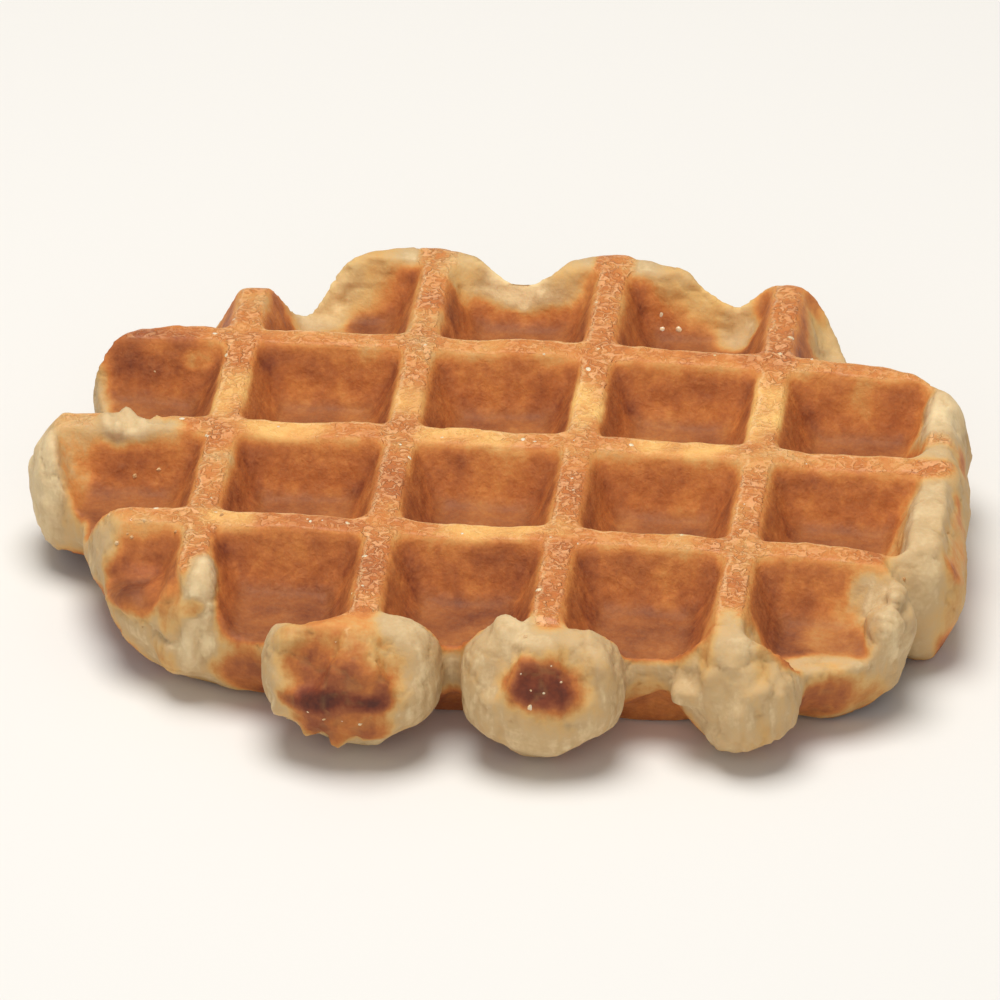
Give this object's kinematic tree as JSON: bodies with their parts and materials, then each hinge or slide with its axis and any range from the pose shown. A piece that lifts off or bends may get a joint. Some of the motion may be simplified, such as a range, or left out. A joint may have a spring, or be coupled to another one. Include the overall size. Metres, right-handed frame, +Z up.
{
  "type": "liege waffle",
  "caption": "Thick oval waffle of baked sugar dough with square pockets on both faces and knobbly rib ends, for eating from the hand.",
  "frame": {"origin": "centre of the bounding box's lower face, on the surface that the waffle lies on", "axes": "+X along the long side, towards the end with the long straight edge; +Y from the knobbly front edge to the back edge; +Z up, out of the face with the browner ribs"},
  "size_m": [0.1432, 0.1238, 0.0227],
  "materials": {
    "crust": "dull baked crust, golden brown, paler where the dough touched no iron",
    "sugar": "glossy half-melted sugar"
  },
  "bodies": {
    "root": {"waffle": "crust"}
  },
  "joints": []
}
